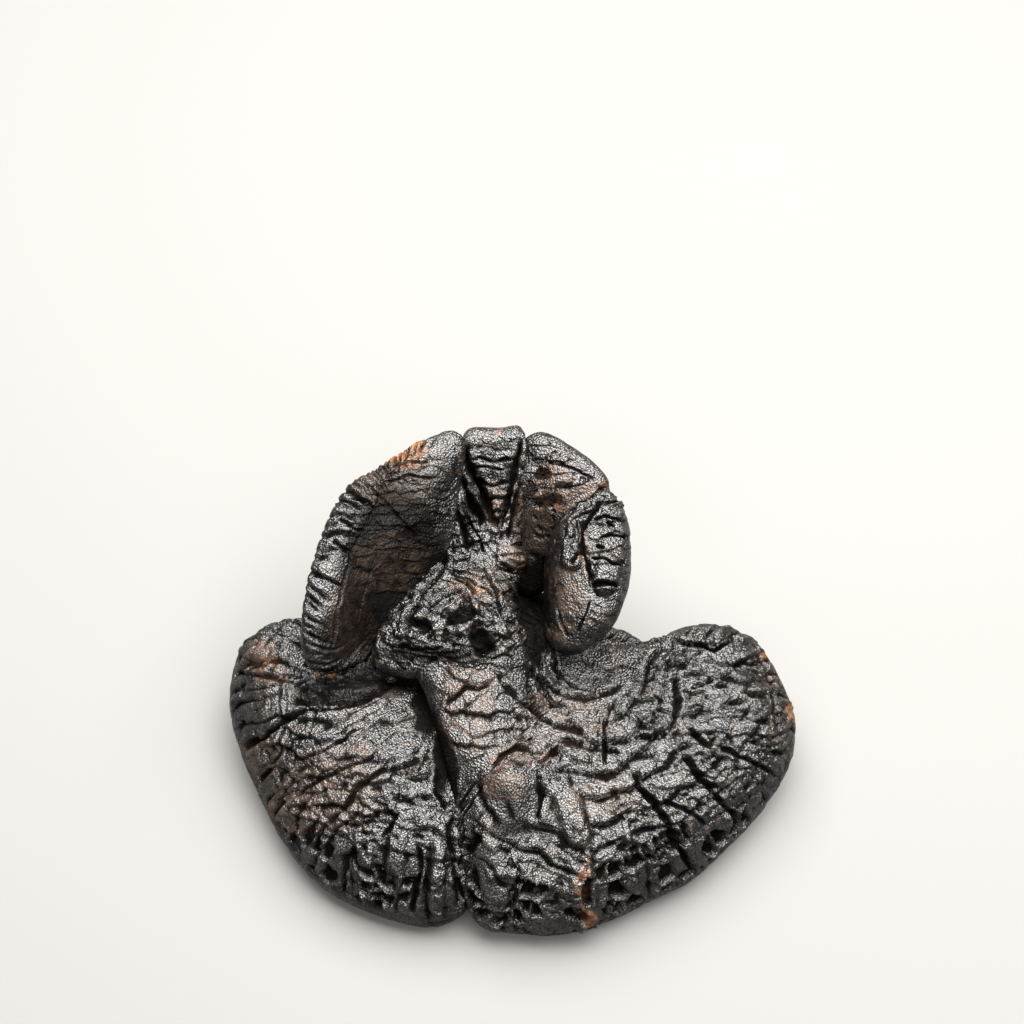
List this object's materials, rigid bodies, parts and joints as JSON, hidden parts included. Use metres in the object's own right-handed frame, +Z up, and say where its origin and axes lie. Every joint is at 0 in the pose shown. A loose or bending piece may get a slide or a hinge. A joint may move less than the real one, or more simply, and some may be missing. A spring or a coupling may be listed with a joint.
{
  "type": "dried reishi mushroom",
  "caption": "Dried black reishi bracket fungus: a rosette of folded, ridged and lacquered lobes on a short stem cut flat, for display, herbal or kitchen scenes.",
  "frame": {"origin": "bottom centre of the bounding box, on the surface that the fungus rests on", "axes": "+X across the widest spread of the two front lobes, +Y from the front rims to the standing back folds, +Z up"},
  "size_m": [0.1794, 0.143, 0.0763],
  "materials": {
    "black_skin": "near-black lacquered crust, glossy on the ridges, with brown and rust patches; paler pore surface beneath"
  },
  "bodies": {
    "root": {"mushroom": "black_skin"}
  },
  "joints": []
}
